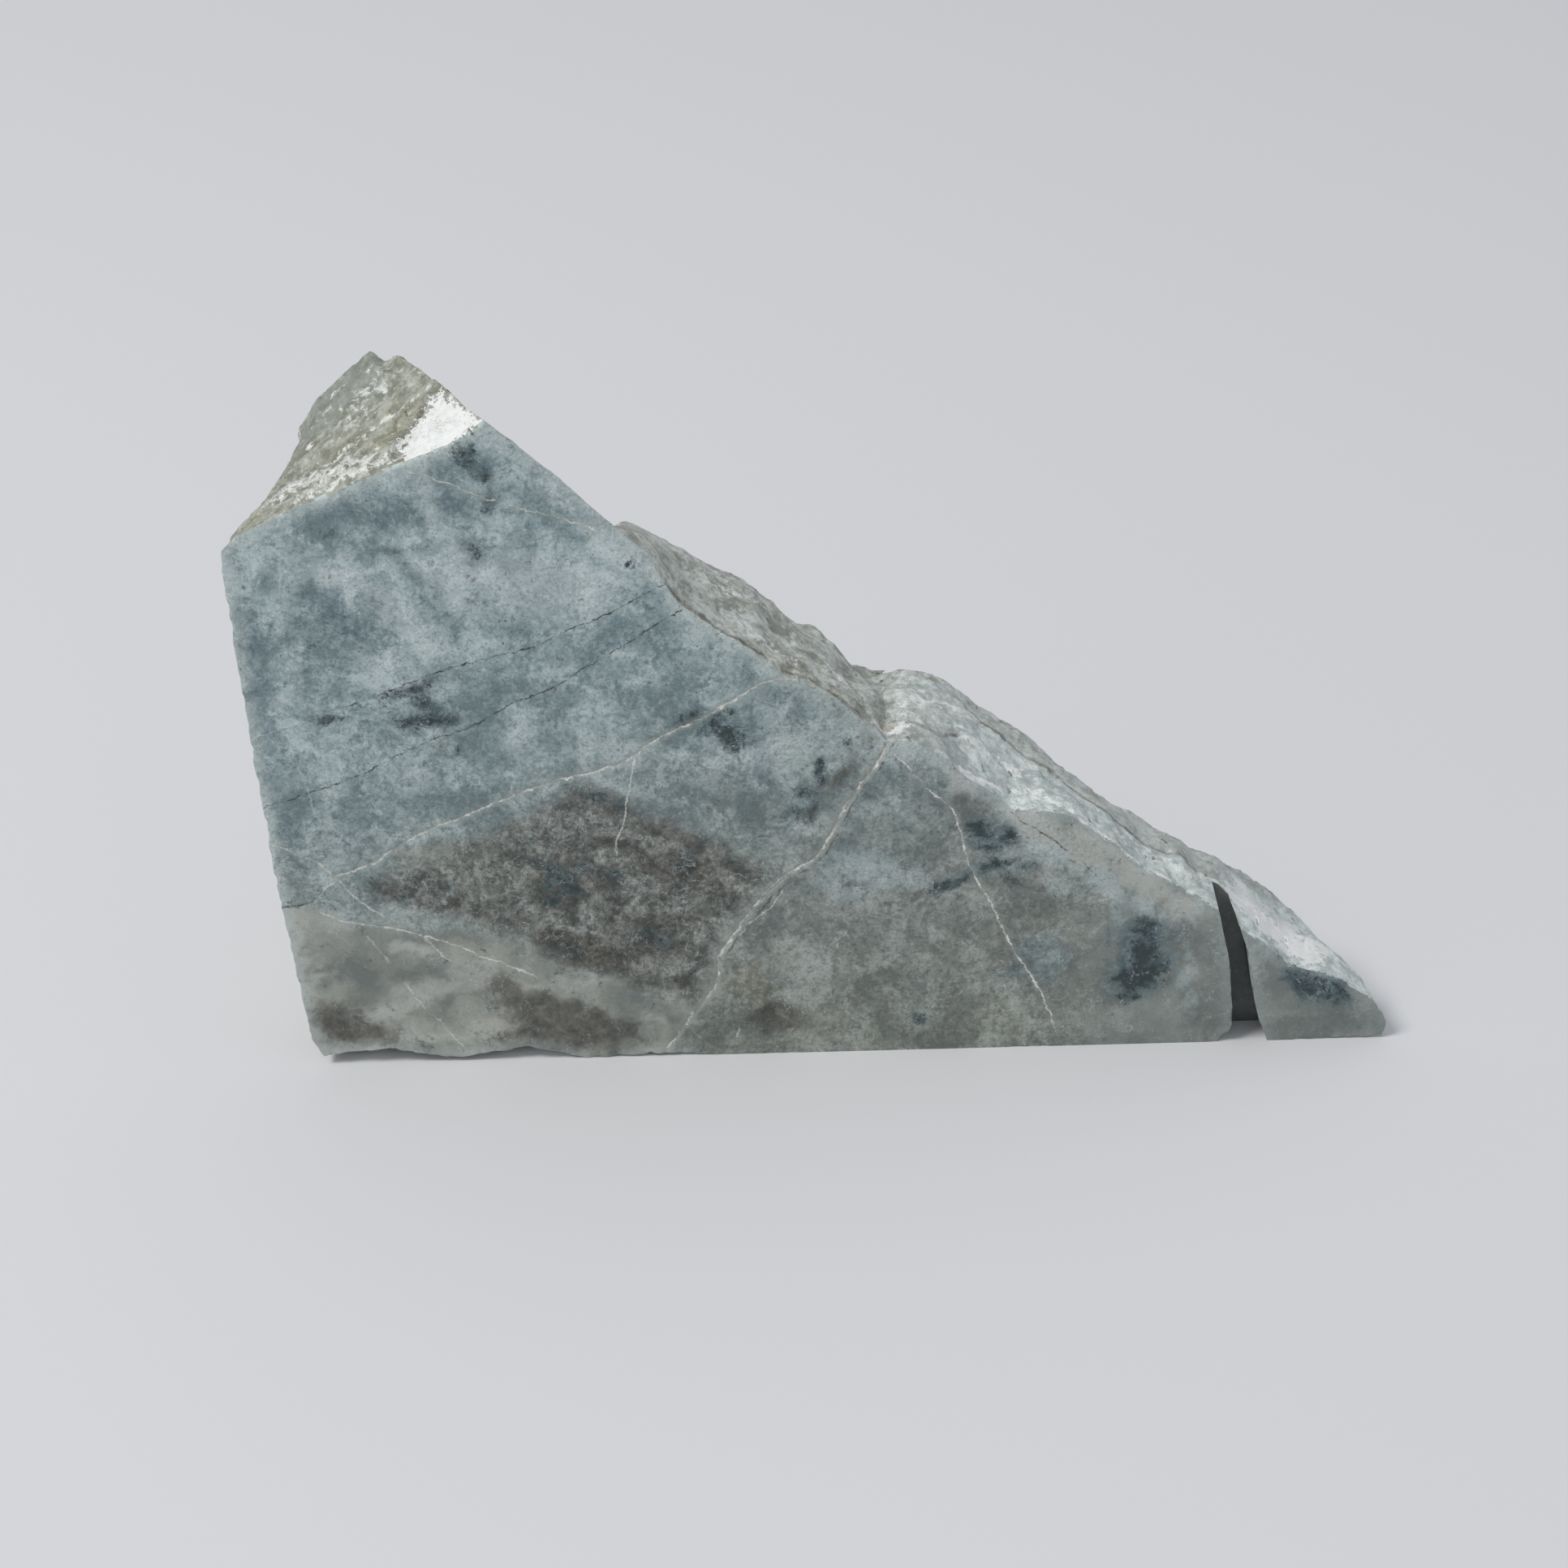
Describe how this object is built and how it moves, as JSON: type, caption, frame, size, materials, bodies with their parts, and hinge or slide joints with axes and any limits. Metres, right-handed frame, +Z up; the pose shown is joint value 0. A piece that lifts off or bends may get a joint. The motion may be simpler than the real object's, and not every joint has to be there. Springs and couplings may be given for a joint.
{
  "type": "raw jade stone",
  "caption": "Wedge-shaped piece of raw jade with one flat sawn face, a broken top and a rough rind, standing on its long flat edge.",
  "frame": {"origin": "on the ground, under the middle of the stone's box", "axes": "+Z up, +X along the sawn face towards the pointed tip, +Y from the sawn face into the stone"},
  "size_m": [0.0598, 0.0172, 0.0376],
  "materials": {
    "jade": "fine sawn face, rough rind and broken faces"
  },
  "bodies": {
    "root": {"raw_jade": "jade"}
  },
  "joints": []
}
